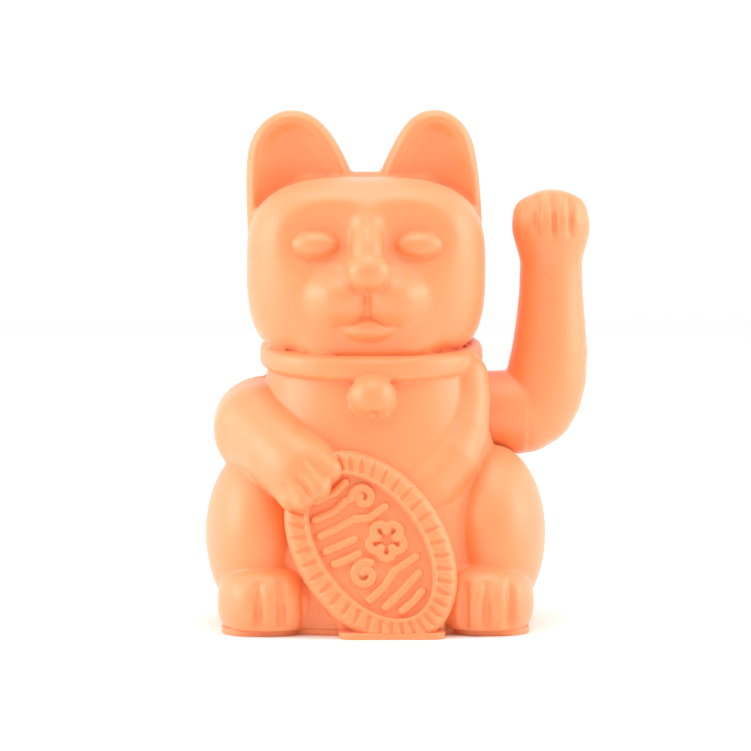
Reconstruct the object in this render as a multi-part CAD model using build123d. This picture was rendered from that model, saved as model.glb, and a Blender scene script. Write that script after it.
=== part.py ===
"""Beckoning cat figurine with a swinging arm, as an assembly of separate pieces.

Millimetres. +Z is up and the cat faces -Y. The origin is on the underside of the base, under the middle of
the body and under the swinging arm's axis. A front and a rear shell stand on a base plate. The raised arm is
pressed on a steel shaft that turns in a bracket inside the body, and a weighted lever with a magnet hangs from
the same shaft over a coil. One cell in a bay in the base feeds the coil through a small circuit board.
"""

import os
from math import atan, cos, degrees, pi, radians, sin

from build123d import *

# ---- Driving dimensions: the body ---------------------------------------------------------------------
EAR_TOP = 150.0
WALL = 2.0
ARM_WALL = 1.6
HEAD_X = -2.5  # the head sits a little towards the cat's right
HEAD_HALF_X, HEAD_FRONT, HEAD_BACK, HEAD_LOW, HEAD_TOP = 35.2, -28.0, 26.0, 78.0, 132.0
FOOT_X, FOOT_Y, FOOT_W, FOOT_D, FOOT_H = 32.6, -21.5, 27.0, 33.0, 20.0
COIN_LONG, COIN_WIDE, COIN_HALF_T = 31.5, 20.2, 6.5
COIN_TILT, COIN_LEAN = 38.0, 8.0  # towards the cat's right, and back against the belly
COIN_X, COIN_Y, COIN_Z = -1.5, -33.6, 25.0

BASE_T = 1.8  # the shells stand on the plate at this height
PAD_TOP = 3.6  # the plate is thicker round the battery bay and at the screws
BASE_HALF_X, BASE_FRONT, BASE_BACK = 43.0, 35.0, 41.0

# ---- Driving dimensions: the swinging arm and its pendulum ----------------------------------------------
PIVOT_Z = 61.4
SHAFT_R = 1.5
RUNNING = 0.05  # radial clearance of the shaft in its bushes
STUB_R = 12.2  # round root of the raised arm
STUB_X = 29.4
ARM_GAP = 0.6  # between the root of the arm and its pocket in the shells
POCKET_X = 28.6
ARM_X = 51.4
LEVER_X0, LEVER_X1 = 11.5, 14.5
WEIGHT_Y = 0.29  # sets the weight back a little, against the paw that reaches forward
MAGNET_R, MAGNET_T = 5.0, 4.0
MAGNET_TOP = 22.6

# ---- Driving dimensions: bracket, battery and electrics -------------------------------------------------
BRACKET_X0, BRACKET_X1 = 1.0, 25.0
BRACKET_BACK, BRACKET_T = 17.0, 2.0
BRACKET_Z0, BRACKET_Z1 = 50.0, 69.0
BRACKET_SPOTS = [(13.0, 53.5), (13.0, 65.5)]
BUSH_R, BUSH_L = 3.0, 3.0
SCREW_SPOTS = [(-33.6, -17.0), (33.6, -17.0), (-33.6, 10.0), (33.6, 10.0)]
BOSS_R, BOSS_TOP, PILOT_R = 3.2, 14.0, 1.1
HEAD_R, HEAD_T = 2.5, 1.5

CELL_R, CELL_BODY, NUB = 7.25, 49.5, 1.0  # an AA cell
CELL_X, CELL_Z = -14.0, 9.2
BAY_HALF_X, BAY_FRONT, BAY_BACK, BAY_TOP, BAY_WALL = 7.9, -26.8, 30.2, 17.0, 1.4
DOOR_MARGIN = 1.6  # the door overlaps the mouth of the bay by this much all round
DOOR_T, DOOR_LIFT, DOOR_GAP = 1.3, 0.2, 0.2
CONTACT_T = 0.4
CONTACT_FRONT = BAY_FRONT + 0.1
CONTACT_BACK = BAY_BACK - 0.1 - CONTACT_T
TAB_TOP = BAY_TOP + BAY_WALL + 2.4
CELL_Y0 = CONTACT_BACK - 0.1 - NUB - CELL_BODY

COIL_X = 13.0
BOARD_Z, BOARD_T, BOARD_HALF = 5.4, 1.6, 14.0
BOARD_TOP = BOARD_Z + BOARD_T
CORNER = 11.5  # from the coil's axis to each board corner post, along X and along Y
BOARD_SPOTS = [(COIL_X - CORNER, -CORNER), (COIL_X + CORNER, CORNER)]
BOARD_RESTS = [(COIL_X - CORNER, CORNER), (COIL_X + CORNER, -CORNER)]
BOBBIN_R, BOBBIN_H, CORE_R, FLANGE_T = 7.4, 8.4, 3.0, 0.8
WIRE_R = 0.6
BIG = 300.0


# ---- Small helpers ------------------------------------------------------------------------------------
def block(x0, x1, y0, y1, z0, z1):
    """An upright box between two corners."""
    return Pos((x0 + x1) / 2, (y0 + y1) / 2, (z0 + z1) / 2) * Box(x1 - x0, y1 - y0, z1 - z0)


def post(x, y, z0, z1, r):
    """A vertical cylinder."""
    return Pos(x, y, (z0 + z1) / 2) * Cylinder(r, z1 - z0)


def rod_x(x0, x1, y, z, r):
    """A cylinder along X."""
    return Pos((x0 + x1) / 2, y, z) * Rot(0, 90, 0) * Cylinder(r, x1 - x0)


def rod_y(x, y0, y1, z, r):
    """A cylinder along Y."""
    return Pos(x, (y0 + y1) / 2, z) * Rot(90, 0, 0) * Cylinder(r, y1 - y0)


def egg(x, y, z, rx, ry, rz):
    """An ellipsoid."""
    return Pos(x, y, z) * scale(Sphere(1), by=(rx, ry, rz))


def limb(start, start_r, end, end_r):
    """Two balls joined by the cone that touches both, the round-ended shape of an arm."""
    axis = Vector(*end) - Vector(*start)
    length = axis.length
    lean = (start_r - end_r) / length
    flat = (1 - lean * lean) ** 0.5
    low, high = lean * start_r, length + lean * end_r
    cone = Pos(0, 0, (low + high) / 2) * Cone(start_r * flat, end_r * flat, high - low)
    placed = Plane(origin=start, z_dir=axis.normalized()) * cone
    return placed + Pos(*start) * Sphere(start_r) + Pos(*end) * Sphere(end_r)


def oval(z, half_x, front, back, power=2.4, count=28):
    """A squared oval face at height z, deeper at the back than at the front."""
    points = []
    for i in range(count):
        c, s = cos(2 * pi * i / count), sin(2 * pi * i / count)
        x = half_x * abs(c) ** (2 / power) * (1 if c > 0 else -1)
        y = (back if s > 0 else front) * abs(s) ** (2 / power) * (1 if s > 0 else -1)
        points.append((x, y))
    return Pos(0, 0, z) * make_face(Spline(*points, periodic=True))


def rounded_block(width, depth, height, corner, edge):
    """A box with round upright corners, and round edges above and below."""
    body = extrude(RectangleRounded(width, depth, corner), height / 2, both=True)
    return fillet(body.faces().filter_by(Axis.Z).edges(), edge)


def joined(forms):
    """One solid of all the forms."""
    whole = forms[0]
    for form in forms[1:]:
        whole = whole + form
    return whole


def screw(head_r, head_t, shank_r, length):
    """A cross-head screw whose head starts at the origin and whose shank points up."""
    body = post(0, 0, 0, head_t, head_r) + post(0, 0, head_t, head_t + length, shank_r)
    slot = Box(head_r * 1.3, 0.5, head_t)
    return body - slot - Rot(0, 0, 90) * slot


# ---- The body's forms. grow is 0 for the outside and -WALL for the inside -------------------------------
TORSO = [  # height, half width, front, back
    (0.0, 42.0, 35.0, 40.5),
    (12.0, 43.0, 36.0, 41.5),
    (28.0, 41.0, 35.5, 40.5),
    (44.0, 37.0, 33.5, 37.5),
    (60.0, 33.5, 31.0, 32.5),
    (72.0, 31.0, 28.5, 28.5),
    (84.0, 29.5, 27.0, 26.0),
]


def torso(grow):
    return loft([oval(z, half_x + grow, front + grow, back + grow) for z, half_x, front, back in TORSO])


def head(grow):
    width, depth = 2 * (HEAD_HALF_X + grow), HEAD_BACK - HEAD_FRONT + 2 * grow
    height = HEAD_TOP - HEAD_LOW + 2 * grow
    middle = (HEAD_X, (HEAD_FRONT + HEAD_BACK) / 2, (HEAD_LOW + HEAD_TOP) / 2)
    return Pos(*middle) * rounded_block(width, depth, height, 24.0 + grow, 17.0 + grow)


def nose(grow):
    return limb((HEAD_X, -24.5, 115.0), 4.4 + grow, (HEAD_X, -29.8, 101.5), 5.8 + grow)


def ear(side, grow):
    """A rounded triangle, flush with the side of the head."""
    outline = [
        (34.4 + grow, 106.0),
        (34.4 + grow, 132.0),
        (30.5 + grow, 144.5),
        (25.0, EAR_TOP + grow),
        (18.0, EAR_TOP + grow),
        (12.0 - grow, 145.0),
        (4.0 - grow, 131.5),
        (4.0 - grow, 106.0),
    ]
    face = make_face(Polyline(*outline, close=True))
    face = fillet(face.vertices().group_by(Axis.Y)[-1], 3.0)
    plate = extrude(Plane.XZ * face, 7.0 + grow, both=True)
    if side < 0:
        plate = mirror(plate, about=Plane.YZ)
    return Pos(HEAD_X, 0, 0) * plate


def collar():
    """A plain band. The wall is thicker behind it, so it has no inside."""
    band = extrude(oval(72.4, 33.0, 30.6, 29.5), 7.4)
    return Pos(HEAD_X / 3, 0, 0) * fillet(band.faces().filter_by(Axis.Z).edges(), 2.4)


def foot(side, grow):
    place = Pos(side * FOOT_X, FOOT_Y, FOOT_H / 2)
    width, depth, height = FOOT_W + 2 * grow, FOOT_D + 2 * grow, FOOT_H + 2 * grow
    form = place * rounded_block(width, depth, height, 11.0 + grow, 7.0 + grow)
    if grow:
        mouth = extrude(RectangleRounded(FOOT_W - 9.0, FOOT_D - 9.0, 6.0), FOOT_H / 2, both=True)
        form = form + Pos(side * FOOT_X, FOOT_Y, 0) * mouth
    return form


def coin(grow):
    """The oval coin stands on the base and leans on the belly."""
    plate = extrude(Ellipse(COIN_WIDE + grow, COIN_LONG + grow), COIN_HALF_T + grow, both=True)
    return Pos(COIN_X, COIN_Y, COIN_Z) * Rot(-COIN_LEAN, 0, 0) * Rot(90, 0, 0) * Rot(0, 0, COIN_TILT) * plate


def front_forms(grow):
    """The forms that only the front shell has: thighs, feet, resting arm, coin, bell and nose."""
    forms = []
    for side in (-1, 1):
        forms.append(egg(side * 33.4, -9.0, 26.0, 16.4 + grow, 24.0 + grow, 24.0 + grow))
        forms.append(foot(side, grow))
    forms.append(limb((-33.0, 0.0, 59.0), 14.0 + grow, (-23.5, -28.0, 47.0), 9.5 + grow))
    forms.append(Pos(-19.5, -32.5, 43.5) * Sphere(9.4 + grow))
    forms.append(coin(grow))
    forms.append(Pos(-1.1, -30.2, 67.2) * Sphere(6.5 + grow))
    forms.append(nose(grow))
    return forms


def rear_forms(grow):
    """The forms that only the rear shell has: shoulders, hips and the curled tail."""
    forms = [
        egg(-31.5, 5.0, 56.0, 14.6 + grow, 20.0 + grow, 18.5 + grow),
        egg(22.0, 5.0, 56.0, 14.6 + grow, 20.0 + grow, 18.5 + grow),
    ]
    for side in (-1, 1):
        forms.append(egg(side * 31.0, 10.0, 23.0, 15.5 + grow, 22.0 + grow, 20.0 + grow))
    forms.append(limb((9.0, 37.0, 10.5), 6.4 + grow, (-10.0, 36.0, 21.0), 5.4 + grow))
    return forms


def body_form(grow, front):
    forms = [torso(grow), head(grow), ear(-1, grow), ear(1, grow)]
    if not grow:
        forms.append(collar())
    return joined(forms + (front_forms(grow) if front else rear_forms(grow)))


def screw_boss(x, y):
    """A boss for a base screw, with a web to the side wall."""
    side = 1 if x > 0 else -1
    web = block(min(x, side * 48.0), max(x, side * 48.0), y - 1.0, y + 1.0, PAD_TOP, BOSS_TOP - 2.0)
    return post(x, y, PAD_TOP, BOSS_TOP, BOSS_R) + web


def body_shell(front):
    """One half of the moulded body, open below, with the pocket that the raised arm turns in."""
    y0, y1 = (-BIG, 0.0) if front else (0.0, BIG)
    outer = body_form(0.0, front) & block(-BIG, BIG, y0, y1, BASE_T, BIG)
    shell = outer - body_form(-WALL, front)
    spots = [spot for spot in SCREW_SPOTS if (spot[1] < 0) == front]
    inner = [screw_boss(x, y) for x, y in spots]
    inner.append(rod_x(POCKET_X - WALL, 60.0, 0, PIVOT_Z, STUB_R + ARM_GAP + WALL))
    if not front:
        inner += [rod_y(x, BRACKET_BACK, 45.0, z, 3.0) for x, z in BRACKET_SPOTS]
    for piece in inner:
        shell = shell + (piece & outer)
    shell = shell - rod_x(POCKET_X, 80.0, 0, PIVOT_Z, STUB_R + ARM_GAP)
    shell = shell - rod_x(POCKET_X - 5.0, 80.0, 0, PIVOT_Z, SHAFT_R + 1.0)
    for x, y in spots:
        shell = shell - post(x, y, 0.0, BOSS_TOP - 2.0, PILOT_R)
    if not front:
        for x, z in BRACKET_SPOTS:
            shell = shell - rod_y(x, BRACKET_BACK - 1.0, BRACKET_BACK + 8.0, z, PILOT_R)
    return shell


# ---- Base plate, battery bay and door --------------------------------------------------------------------
def bay_block(margin, z0, z1):
    """The bay's plan, larger by a margin all round."""
    return block(
        CELL_X - BAY_HALF_X - margin,
        CELL_X + BAY_HALF_X + margin,
        BAY_FRONT - margin,
        BAY_BACK + margin,
        z0,
        z1,
    )


def base_outline():
    """The plate follows the body, the feet and the coin."""
    outline = oval(0, BASE_HALF_X, BASE_FRONT, BASE_BACK)
    for side in (-1, 1):
        outline = outline + Pos(side * FOOT_X, FOOT_Y) * RectangleRounded(FOOT_W - 4.0, FOOT_D - 4.0, 9.0)
    return outline + Pos(4.4, -34.6) * RectangleRounded(30.0, 17.0, 3.5)


def base_plate():
    plate = extrude(base_outline(), BASE_T)
    plate = fillet(plate.faces().filter_by(Axis.Z).edges(), 0.35)
    plate = plate + bay_block(DOOR_MARGIN + DOOR_GAP + 0.8, BASE_T - 0.5, PAD_TOP)
    plate = plate + bay_block(BAY_WALL, BASE_T - 0.5, BAY_TOP + BAY_WALL)
    for x, y in SCREW_SPOTS:
        plate = plate + post(x, y, BASE_T - 0.5, PAD_TOP, 3.8)
    for x, y in BOARD_SPOTS + BOARD_RESTS:
        plate = plate + post(x, y, BASE_T - 0.5, BOARD_Z, 2.2)
    plate = plate - bay_block(0, -1.0, BAY_TOP)
    plate = plate - bay_block(DOOR_MARGIN + DOOR_GAP, -1.0, DOOR_LIFT + DOOR_T + 0.05)
    for y in (CONTACT_FRONT, CONTACT_BACK):
        plate = plate - block(CELL_X - 2.1, CELL_X + 2.1, y - 0.1, y + CONTACT_T + 0.1, BAY_TOP - 1.0, 30.0)
    for x, y in SCREW_SPOTS:
        plate = plate - post(x, y, -1.0, 10.0, PILOT_R + 0.4)
        plate = plate - post(x, y, -1.0, HEAD_T + 0.4, HEAD_R + 0.4)
    for x, y in BOARD_SPOTS:
        plate = plate - post(x, y, PAD_TOP - 1.6, 10.0, 0.8)
    return plate


def battery_door():
    """A flush lid with four springy legs that grip the walls of the bay, and a hollow for a thumb."""
    top = DOOR_LIFT + DOOR_T
    lid = fillet(bay_block(DOOR_MARGIN, DOOR_LIFT, top).edges().filter_by(Axis.Z), 1.0)
    lid = lid - Pos(CELL_X, BAY_FRONT + 5.0, DOOR_LIFT - 8.6) * Sphere(9.2)
    for side in (-1, 1):
        for y in (-18.0, 14.0):
            inner, outer = CELL_X + side * 6.7, CELL_X + side * (BAY_HALF_X - 0.1)
            lid = lid + block(min(inner, outer), max(inner, outer), y, y + 7.0, top - 0.2, top + 2.0)
    return lid


def battery_cell():
    can = rod_y(CELL_X, CELL_Y0, CELL_Y0 + CELL_BODY, CELL_Z, CELL_R)
    can = fillet(can.edges().filter_by(GeomType.CIRCLE), 0.6)
    nub = rod_y(CELL_X, CELL_Y0 + CELL_BODY - 0.2, CELL_Y0 + CELL_BODY + NUB, CELL_Z, 2.75)
    return can + nub


def battery_contact(y):
    """A plated strip that stands in the bay and comes out through its roof as a solder tab."""
    strip = block(CELL_X - 5.0, CELL_X + 5.0, y, y + CONTACT_T, 4.0, BAY_TOP - 1.0)
    return strip + block(CELL_X - 2.0, CELL_X + 2.0, y, y + CONTACT_T, BAY_TOP - 2.0, TAB_TOP)


def battery_spring(wire_r=0.35, big_r=4.4, small_r=2.6, turns=4):
    """A conical spring between the front strip and the cell."""
    start = CONTACT_FRONT + CONTACT_T + wire_r + 0.02
    length = CELL_Y0 - 0.1 - wire_r - start
    slope = degrees(atan((big_r - small_r) / length))
    path = Helix(length / turns, length, big_r, cone_angle=-slope)
    wire = sweep(Plane(path @ 0, z_dir=path % 0) * Circle(wire_r), path)
    return Pos(CELL_X, start, CELL_Z) * Rot(-90, 0, 0) * wire


# ---- Bracket, screws, board and wires ----------------------------------------------------------------------
def movement_bracket():
    """A back plate with two cheeks that hold the bushes."""
    bracket = block(BRACKET_X0, BRACKET_X1, BRACKET_BACK - BRACKET_T, BRACKET_BACK, BRACKET_Z0, BRACKET_Z1)
    for x0 in (BRACKET_X0, BRACKET_X1 - BRACKET_T):
        cheek = block(x0, x0 + BRACKET_T, -6.0, BRACKET_BACK, BRACKET_Z0 + 3.0, BRACKET_Z1)
        bracket = bracket + fillet(cheek.edges().filter_by(Axis.X).group_by(Axis.Y)[0], 3.0)
    bracket = bracket - rod_x(BRACKET_X0 - 1.0, BRACKET_X1 + 1.0, 0, PIVOT_Z, BUSH_R)
    for x, z in BRACKET_SPOTS:
        bracket = bracket - rod_y(x, 0.0, 30.0, z, PILOT_R + 0.3)
    return bracket


def shaft_bushes():
    bushes = []
    for x0 in (BRACKET_X0, BRACKET_X1 - BUSH_L):
        ring = rod_x(x0, x0 + BUSH_L, 0, PIVOT_Z, BUSH_R)
        bushes.append(ring - rod_x(x0 - 1.0, x0 + BUSH_L + 1.0, 0, PIVOT_Z, SHAFT_R + RUNNING))
    return bushes


def base_screws():
    return [Pos(x, y, 0.4) * screw(HEAD_R, HEAD_T, PILOT_R, 9.0) for x, y in SCREW_SPOTS]


def bracket_screws():
    seat = BRACKET_BACK - BRACKET_T
    return [Pos(x, seat - 1.4, z) * Rot(-90, 0, 0) * screw(2.2, 1.4, PILOT_R, 8.0) for x, z in BRACKET_SPOTS]


def board_screws():
    return [Pos(x, y, BOARD_TOP + 1.2) * Rot(180, 0, 0) * screw(1.8, 1.2, 0.8, 4.6) for x, y in BOARD_SPOTS]


def circuit_board():
    board = fillet(
        block(
            COIL_X - BOARD_HALF,
            COIL_X + BOARD_HALF,
            -BOARD_HALF,
            BOARD_HALF,
            BOARD_Z,
            BOARD_TOP,
        ).edges().filter_by(Axis.Z),
        1.5,
    )
    for x, y in BOARD_SPOTS:
        board = board - post(x, y, 0.0, 20.0, 1.0)
    return board


def coil_bobbin():
    bobbin = post(COIL_X, 0, BOARD_TOP, BOARD_TOP + BOBBIN_H, CORE_R)
    bobbin = bobbin + post(COIL_X, 0, BOARD_TOP, BOARD_TOP + FLANGE_T, BOBBIN_R)
    bobbin = bobbin + post(COIL_X, 0, BOARD_TOP + BOBBIN_H - FLANGE_T, BOARD_TOP + BOBBIN_H, BOBBIN_R)
    return bobbin - post(COIL_X, 0, 0, 40.0, 1.8)


def coil_winding():
    ring = post(COIL_X, 0, BOARD_TOP + FLANGE_T, BOARD_TOP + BOBBIN_H - FLANGE_T, BOBBIN_R - 0.7)
    return ring - post(COIL_X, 0, 0, 40.0, CORE_R)


def transistor():
    """A small plastic case with one flat side, on three legs."""
    x, y = COIL_X + 10.8, 4.0
    case = post(x, y, BOARD_TOP + 2.0, BOARD_TOP + 6.6, 2.3)
    case = case - block(x + 1.4, x + 5.0, y - 5.0, y + 5.0, 0.0, 40.0)
    for i in (-1, 0, 1):
        leg = block(x - 0.2, x + 0.2, y + i * 1.27 - 0.2, y + i * 1.27 + 0.2, BOARD_TOP, BOARD_TOP + 2.2)
        case = case + leg
    return case


def capacitor():
    can = post(COIL_X + 10.6, -4.6, BOARD_TOP, BOARD_TOP + 7.0, 2.5)
    return fillet(can.faces().sort_by(Axis.Z)[-1].edges(), 0.4)


def resistors():
    """Two small ones lying along X, front and back of the coil."""
    pieces = []
    for y in (-CORNER, CORNER):
        body = rod_x(COIL_X - 3.0, COIL_X + 3.0, y, BOARD_TOP + 1.3, 1.1)
        for x in (COIL_X - 4.4, COIL_X + 4.4):
            body = body + rod_x(min(x, COIL_X) - 0.25, max(x, COIL_X) + 0.25, y, BOARD_TOP + 1.3, 0.25)
            body = body + post(x, y, BOARD_TOP, BOARD_TOP + 1.5, 0.25)
        pieces.append(body)
    return pieces


RED_ROUTE = [
    (CELL_X, CONTACT_BACK + 0.2, TAB_TOP),
    (CELL_X, CONTACT_BACK + 0.2, TAB_TOP + 8.0),
    (CELL_X + 9.0, CONTACT_BACK - 5.0, TAB_TOP + 8.0),
    (COIL_X - CORNER + 0.6, 13.5, TAB_TOP),
    (COIL_X - CORNER, CORNER - 0.5, BOARD_TOP),
]
BLACK_ROUTE = [
    (CELL_X, CONTACT_FRONT + 0.2, TAB_TOP),
    (CELL_X, CONTACT_FRONT + 0.2, TAB_TOP + 7.0),
    (CELL_X + 9.0, CONTACT_FRONT + 6.0, TAB_TOP + 8.0),
    (COIL_X - CORNER + 0.4, -8.0, TAB_TOP - 1.0),
    (COIL_X - CORNER, -5.5, BOARD_TOP),
]


def wire(route):
    path = FilletPolyline(*route, radius=4.5)
    return sweep(Plane(path @ 0, z_dir=path % 0) * Circle(WIRE_R), path)


# ---- The swinging arm ---------------------------------------------------------------------------------------
def arm_form(grow):
    """Round root, elbow, forearm and the paw that bends forward."""
    root = rod_x(STUB_X - grow, 50.2, 0, PIVOT_Z, STUB_R + grow)
    elbow = Pos(50.2, 0, PIVOT_Z) * Sphere(STUB_R + grow)
    forearm = limb((ARM_X, 0, 67.0), 11.6 + grow, (ARM_X + 0.5, 0, 102.0), 9.3 + grow)
    paw = egg(ARM_X + 0.5, -2.4, 115.4, 10.7 + grow, 11.4 + grow, 11.6 + grow)
    return joined([root, elbow, forearm, paw])


def arm_half(front):
    """One moulded half of the arm, with half of the boss that grips the shaft."""
    side = block(-BIG, BIG, -BIG, 0, -BIG, BIG) if front else block(-BIG, BIG, 0, BIG, -BIG, BIG)
    half = arm_form(0) - arm_form(-ARM_WALL)
    half = half + rod_x(STUB_X, STUB_X + 11.0, 0, PIVOT_Z, 4.0)
    half = half - rod_x(0, STUB_X + 10.0, 0, PIVOT_Z, SHAFT_R)
    return half & side


def pivot_shaft():
    return rod_x(BRACKET_X0 - 1.0, STUB_X + 10.0, 0, PIVOT_Z, SHAFT_R)


def shaft_clips():
    """Two clips that keep the shaft from moving endways."""
    clips = []
    for x0 in (BRACKET_X0 + BUSH_L + 0.15, BRACKET_X1 - BUSH_L - 0.75):
        ring = rod_x(x0, x0 + 0.6, 0, PIVOT_Z, 3.2) - rod_x(x0 - 1, x0 + 2, 0, PIVOT_Z, SHAFT_R)
        clips.append(ring - block(x0 - 1, x0 + 2, -0.9, 0.9, PIVOT_Z, PIVOT_Z + 5.0))
    return clips


WEIGHT_X1, WEIGHT_HALF_Y, WEIGHT_Z0, WEIGHT_Z1 = LEVER_X1 + 8.0, 8.0, 26.0, 44.0


def pendulum_lever():
    """A hub on the shaft, a flat bar down from it, and a cup for the magnet."""
    lever = rod_x(LEVER_X0 - 2.5, LEVER_X1 + 2.5, 0, PIVOT_Z, 4.6)
    lever = lever + block(LEVER_X0, LEVER_X1, -4.0, 4.0, MAGNET_TOP, PIVOT_Z)
    lever = lever + post((LEVER_X0 + LEVER_X1) / 2, 0, MAGNET_TOP, MAGNET_TOP + 1.6, MAGNET_R + 0.8)
    lever = lever - rod_x(0, 40.0, 0, PIVOT_Z, SHAFT_R)
    return lever - rod_x(0, 40.0, 0, (WEIGHT_Z0 + WEIGHT_Z1) / 2, 1.0)


def counterweight():
    """A steel block screwed to the lever's side."""
    weight = block(LEVER_X1, WEIGHT_X1, -WEIGHT_HALF_Y, WEIGHT_HALF_Y, WEIGHT_Z0, WEIGHT_Z1)
    weight = Pos(0, WEIGHT_Y, 0) * chamfer(weight.edges().filter_by(Axis.X), 1.2)
    return weight - rod_x(LEVER_X1 - 1.0, LEVER_X1 + 6.0, 0, (WEIGHT_Z0 + WEIGHT_Z1) / 2, 1.0)


def weight_screw():
    place = Pos(LEVER_X0 - 1.2, 0, (WEIGHT_Z0 + WEIGHT_Z1) / 2)
    return place * Rot(0, 90, 0) * screw(2.0, 1.2, 1.0, 8.0)


def pendulum_magnet():
    return post((LEVER_X0 + LEVER_X1) / 2, 0, MAGNET_TOP - MAGNET_T, MAGNET_TOP, MAGNET_R)


NODES = {
    "front_shell": lambda: body_shell(True),
    "rear_shell": lambda: body_shell(False),
    "base_plate": base_plate,
    "base_screws": base_screws,
    "battery_door": battery_door,
    "battery_cell": battery_cell,
    "battery_contact_positive": lambda: battery_contact(CONTACT_BACK),
    "battery_contact_negative": lambda: battery_contact(CONTACT_FRONT),
    "battery_spring": battery_spring,
    "movement_bracket": movement_bracket,
    "bracket_screws": bracket_screws,
    "shaft_bushes": shaft_bushes,
    "circuit_board": circuit_board,
    "board_screws": board_screws,
    "coil_bobbin": coil_bobbin,
    "coil_winding": coil_winding,
    "transistor": transistor,
    "capacitor": capacitor,
    "resistors": resistors,
    "wire_red": lambda: wire(RED_ROUTE),
    "wire_black": lambda: wire(BLACK_ROUTE),
    "arm_front": lambda: arm_half(True),
    "arm_rear": lambda: arm_half(False),
    "pivot_shaft": pivot_shaft,
    "shaft_clips": shaft_clips,
    "pendulum_lever": pendulum_lever,
    "counterweight": counterweight,
    "weight_screw": weight_screw,
    "pendulum_magnet": pendulum_magnet,
}

os.makedirs("parts", exist_ok=True)
for name, make in NODES.items():
    piece = make()
    if isinstance(piece, list):
        piece = Compound(children=piece)
    export_step(piece, f"parts/{name}.step")
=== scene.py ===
"""Beckoning cat figurine: the looks of its moulded shells, arm, base and movement.

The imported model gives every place. Shapes are worked out in millimetres and built in metres. The
moulded pieces are carved from blocks of clay, as a pattern maker adds and cuts: the clay is a signed
distance at evenly spaced points. It is then skinned, cut on the seam and hollowed.
"""

import math

import bmesh
import bpy
import numpy as np
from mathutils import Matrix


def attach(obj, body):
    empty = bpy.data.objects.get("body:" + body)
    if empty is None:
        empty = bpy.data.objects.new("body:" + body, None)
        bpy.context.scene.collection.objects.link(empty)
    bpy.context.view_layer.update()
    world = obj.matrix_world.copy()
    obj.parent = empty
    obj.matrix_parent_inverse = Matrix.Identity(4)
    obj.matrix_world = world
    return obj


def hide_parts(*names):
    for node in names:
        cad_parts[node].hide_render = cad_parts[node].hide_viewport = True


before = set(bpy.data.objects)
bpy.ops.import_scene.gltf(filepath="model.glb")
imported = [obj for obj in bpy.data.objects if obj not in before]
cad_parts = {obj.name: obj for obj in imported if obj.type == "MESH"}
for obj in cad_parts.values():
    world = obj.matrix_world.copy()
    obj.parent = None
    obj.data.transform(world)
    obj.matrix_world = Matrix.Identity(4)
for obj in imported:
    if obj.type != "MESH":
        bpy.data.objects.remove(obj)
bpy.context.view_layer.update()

import openvdb
from bpy.props import FloatProperty, FloatVectorProperty, PointerProperty
from mathutils import Euler, Matrix, Vector

bl_info = {
    "name": "Beckoning cat figurine",
    "version": (1, 0, 0),
    "blender": (4, 5, 0),
    "location": "View3D > Sidebar > Cat",
    "description": "Builds a beckoning cat figurine: moulded shells, swinging arm, base and movement",
    "category": "Add Mesh",
}

MM = 0.001

# ---- Places and sizes, in millimetres ------------------------------------------------------------
HEAD_X = -2.4
BASE_TOP = 1.8  # where the shells stand on the base plate
PIVOT_Z = 61.4  # height of the arm's shaft
POCKET_X, POCKET_R = 28.6, 12.8  # the round pocket that the arm turns in
BODY_WALL, ARM_WALL = 1.9, 1.6
BODY_STEP, ARM_STEP, COIN_STEP = 0.66, 0.52, 0.34  # between points of clay
FAR = 30.0  # distance that empty clay starts with
REACH = 6.0  # how far from its own box a form is felt
SIDES = (-1, 1)


# ---- Clay: forms and the block they are added to -------------------------------------------------
class Form:
    """A solid form: the box that it fills, and its signed distance at any points."""

    def __init__(self, low, high, depth):
        self.low = np.array(low, float)
        self.high = np.array(high, float)
        self.depth = depth


def soft_min(a, b, blend):
    """The smaller of two distances, with the crease between them filled by a blend."""
    if blend <= 0:
        return np.minimum(a, b)
    mix = np.clip(0.5 + 0.5 * (b - a) / blend, 0, 1)
    return b + (a - b) * mix - blend * mix * (1 - mix)


def local(x, y, z, centre, turn):
    """Points seen from a form's centre, along its own axes, turned by degrees about X, Y and Z."""
    x, y, z = x - centre[0], y - centre[1], z - centre[2]
    if not any(turn):
        return x, y, z
    m = Euler([math.radians(a) for a in turn]).to_matrix()
    return tuple(m[0][i] * x + m[1][i] * y + m[2][i] * z for i in range(3))


def ovoid(centre, radii, turn=(0, 0, 0)):
    """An ellipsoid."""
    reach = np.full(3, max(radii)) if any(turn) else np.array(radii)

    def depth(x, y, z):
        x, y, z = local(x, y, z, centre, turn)
        a, b, c = radii
        k0 = np.sqrt((x / a) ** 2 + (y / b) ** 2 + (z / c) ** 2)
        k1 = np.sqrt((x / a**2) ** 2 + (y / b**2) ** 2 + (z / c**2) ** 2) + 1e-6
        return k0 * (k0 - 1) / k1

    return Form(np.array(centre) - reach, np.array(centre) + reach, depth)


def squared(centre, radii, power):
    """An ellipsoid with a squarer section, like a rounded box."""

    def depth(x, y, z):
        parts = [np.abs(v - c) / r for v, c, r in zip((x, y, z), centre, radii)]
        total = sum(p**power for p in parts) + 1e-6
        size = total ** (1 / power)
        slope = np.sqrt(sum((p ** (power - 1) / r) ** 2 for p, r in zip(parts, radii)))
        slope = slope / size ** (power - 1)
        return (size - 1) / np.maximum(slope, 0.5 / max(radii))

    return Form(np.array(centre) - radii, np.array(centre) + radii, depth)


def rounded_box(centre, half, edge):
    """A box with rounded edges."""

    def depth(x, y, z):
        parts = [np.abs(v - c) - h + edge for v, c, h in zip((x, y, z), centre, half)]
        outside = np.sqrt(sum(np.maximum(p, 0) ** 2 for p in parts))
        inside = np.minimum(np.maximum(np.maximum(parts[0], parts[1]), parts[2]), 0)
        return outside + inside - edge

    return Form(np.array(centre) - half, np.array(centre) + half, depth)


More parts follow.
